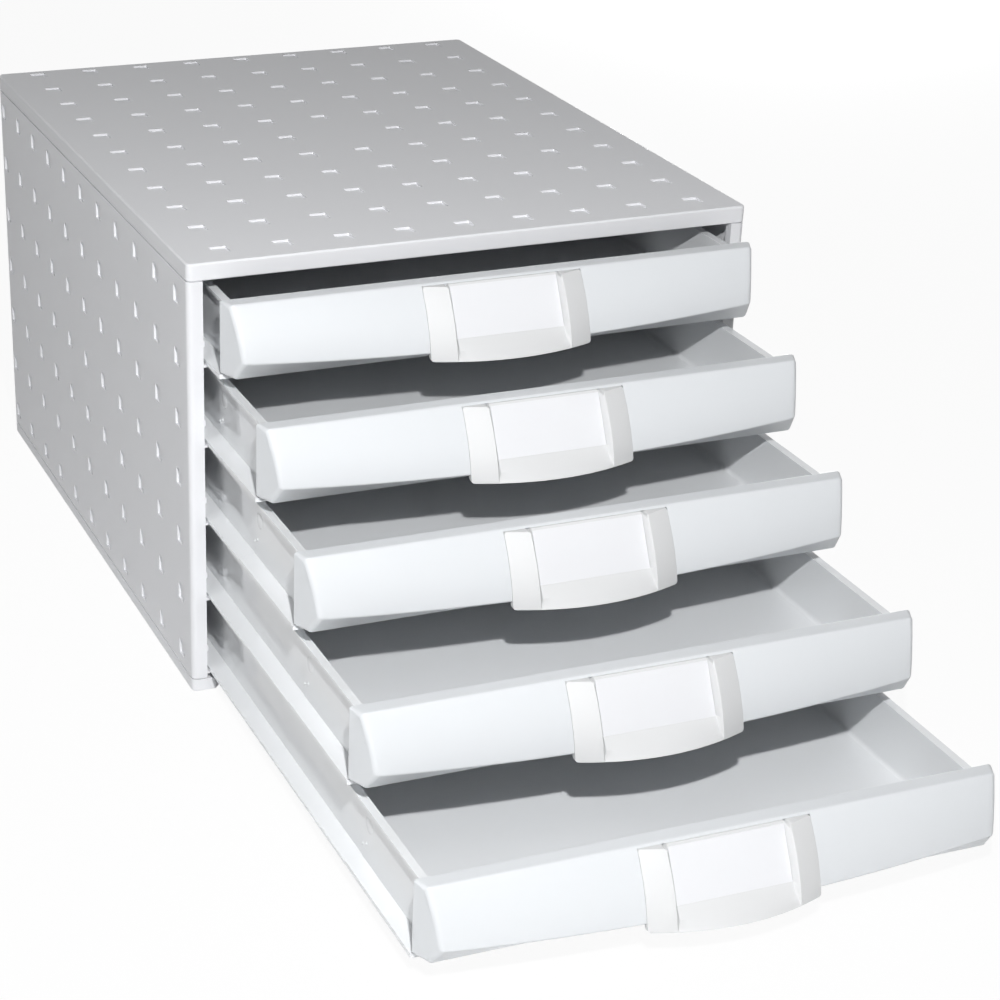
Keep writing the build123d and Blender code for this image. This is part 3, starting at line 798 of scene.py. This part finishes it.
class CABINET_OT_handles(bpy.types.Operator):
    """Make the five crowned handles"""

    bl_idname = "cabinet.handles"
    bl_label = "Handles"

    def execute(self, context):
        scene = context.scene
        surface = handle_surface(scene.cabinet_front, scene.cabinet_handle, *front_size())
        material = handle_polystyrene(scene.cabinet_finishes)
        for piece in in_every_drawer(surface, "handle", "moulding", material, "drawer_handle"):
            ease_edges(piece, scene.cabinet_handle.edge_ease)
        return {"FINISHED"}


class CABINET_OT_labels(bpy.types.Operator):
    """Make the five blank label cards"""

    bl_idname = "cabinet.labels"
    bl_label = "Label cards"

    def execute(self, context):
        scene = context.scene
        surface = label_surface(scene.cabinet_handle)
        material = label_card(scene.cabinet_finishes)
        for piece in in_every_drawer(surface, "label", "card", material, "label_card"):
            ease_edges(piece, scene.cabinet_handle.label_ease)
        return {"FINISHED"}


def white_to_the_camera(tree, lit, share):
    """Mixes a share of plain white into what the camera, reflections and clear bodies see of a surface or sky."""
    path = add_node(tree, "ShaderNodeLightPath").outputs
    seen = {0: path["Is Camera Ray"], 1: path["Is Glossy Ray"]}
    seen = {0: add_node(tree, "ShaderNodeMath", seen, operation="MAXIMUM").outputs[0], 1: path["Is Transmission Ray"]}
    seen = {0: add_node(tree, "ShaderNodeMath", seen, operation="MAXIMUM").outputs[0], 1: share}
    amount = add_node(tree, "ShaderNodeMath", seen, operation="MULTIPLY").outputs[0]
    kind = "ShaderNodeBackground" if lit.node.type == "BACKGROUND" else "ShaderNodeEmission"
    white = add_node(tree, kind, {"Color": (1, 1, 1, 1), "Strength": 1.0}).outputs[0]
    return add_node(tree, "ShaderNodeMixShader", {0: amount, 1: lit, 2: white}).outputs[0]


class CABINET_OT_stage(bpy.types.Operator):
    """Set the floor, the lamps, the even studio light and the camera"""

    bl_idname = "cabinet.stage"
    bl_label = "Stage"

    def execute(self, context):
        scene = context.scene
        stage = scene.cabinet_stage
        self.add_floor(scene, stage)
        self.add_sky(scene, stage)
        for name in LAMPS:
            place, size, power = (getattr(stage, f"{name}_{part}") for part in ("place", "size", "power"))
            self.add_lamp(scene, name, place, size, power)
        self.add_camera(scene, stage)
        scene.view_settings.view_transform = "Standard"
        return {"FINISHED"}

    def add_floor(self, scene, stage):
        """A pale matt floor that reads as white and keeps the cabinet's shadow."""
        material = bpy.data.materials.new("pale studio floor")
        material.use_nodes = True
        tree = material.node_tree
        shader = tree.nodes["Principled BSDF"]
        shader.inputs["Base Color"].default_value = list(scene.cabinet_finishes.floor)
        shader.inputs["Roughness"].default_value = 0.9
        shown = white_to_the_camera(tree, shader.outputs[0], stage.floor_white)
        tree.links.new(shown, tree.nodes["Material Output"].inputs["Surface"])
        half, low = stage.floor_half, -stage.floor_drop
        points = [(-half, -half, low), (half, -half, low), (half, half, low), (-half, half, low)]
        mesh = bpy.data.meshes.new("floor")
        mesh.from_pydata(points, [], [(0, 1, 2, 3)])
        mesh.materials.append(material)
        floor = bpy.data.objects.new("floor", mesh)
        scene.collection.objects.link(floor)

    def add_sky(self, scene, stage):
        """Faint even light from all round, which the camera sees as white."""
        world = bpy.data.worlds.new("studio")
        world.use_nodes = True
        tree = world.node_tree
        sky = tree.nodes["Background"]
        sky.inputs["Color"].default_value = (1, 1, 1, 1)
        sky.inputs["Strength"].default_value = stage.fill
        shown = white_to_the_camera(tree, sky.outputs[0], 1.0)
        tree.links.new(shown, tree.nodes["World Output"].inputs["Surface"])
        scene.world = world

    def add_lamp(self, scene, name, place, size, power):
        """A square lamp turned to the cabinet's middle: a small one casts crisp shadows, a large one fills them."""
        light = bpy.data.lights.new(name, "AREA")
        light.size = size
        light.energy = power
        lamp = bpy.data.objects.new(name, light)
        scene.collection.objects.link(lamp)
        lamp.location = place
        aim = (cad_low + cad_high) / 2 - Vector(place)
        lamp.rotation_euler = aim.to_track_quat("-Z", "Y").to_euler()

    def add_camera(self, scene, stage):
        """The camera at the photograph's viewing angle."""
        view = bpy.data.cameras.new("camera")
        view.sensor_width = 36
        view.lens = stage.lens
        view.shift_x = stage.shift_x
        view.shift_y = stage.shift_y
        camera = bpy.data.objects.new("camera", view)
        scene.collection.objects.link(camera)
        turn = Euler(stage.camera_turn, "XYZ").to_matrix().to_4x4()
        camera.matrix_world = Matrix.Translation(stage.camera_place) @ turn
        scene.camera = camera


class CABINET_PT_sidebar(bpy.types.Panel):
    """Lists the cabinet's pieces and their sizes"""

    bl_idname = "CABINET_PT_sidebar"
    bl_label = "Filing cabinet"
    bl_space_type = "VIEW_3D"
    bl_region_type = "UI"
    bl_category = "Cabinet"

    def draw(self, context):
        for operator in OPERATORS:
            self.layout.operator(operator.bl_idname)
        for group in GROUPS:
            box = self.layout.box()
            settings = getattr(context.scene, group)
            for name in settings.__annotations__:
                box.prop(settings, name)


GROUPS = {
    "cabinet_case": CaseSizes,
    "cabinet_tray": TraySizes,
    "cabinet_front": FrontSizes,
    "cabinet_handle": HandleSizes,
    "cabinet_finishes": Finishes,
    "cabinet_stage": Stage,
}
OPERATORS = (
    CABINET_OT_case,
    CABINET_OT_trays,
    CABINET_OT_fronts,
    CABINET_OT_handles,
    CABINET_OT_labels,
    CABINET_OT_stage,
)


def register():
    for kind in (*GROUPS.values(), *OPERATORS, CABINET_PT_sidebar):
        bpy.utils.register_class(kind)
    for name, group in GROUPS.items():
        setattr(bpy.types.Scene, name, PointerProperty(type=group))


def unregister():
    for name in GROUPS:
        delattr(bpy.types.Scene, name)
    for kind in reversed((*GROUPS.values(), *OPERATORS, CABINET_PT_sidebar)):
        bpy.utils.unregister_class(kind)


def main():
    register()
    for operator in OPERATORS:
        group, name = operator.bl_idname.split(".")
        getattr(getattr(bpy.ops, group), name)()


if __name__ == "__main__":
    main()
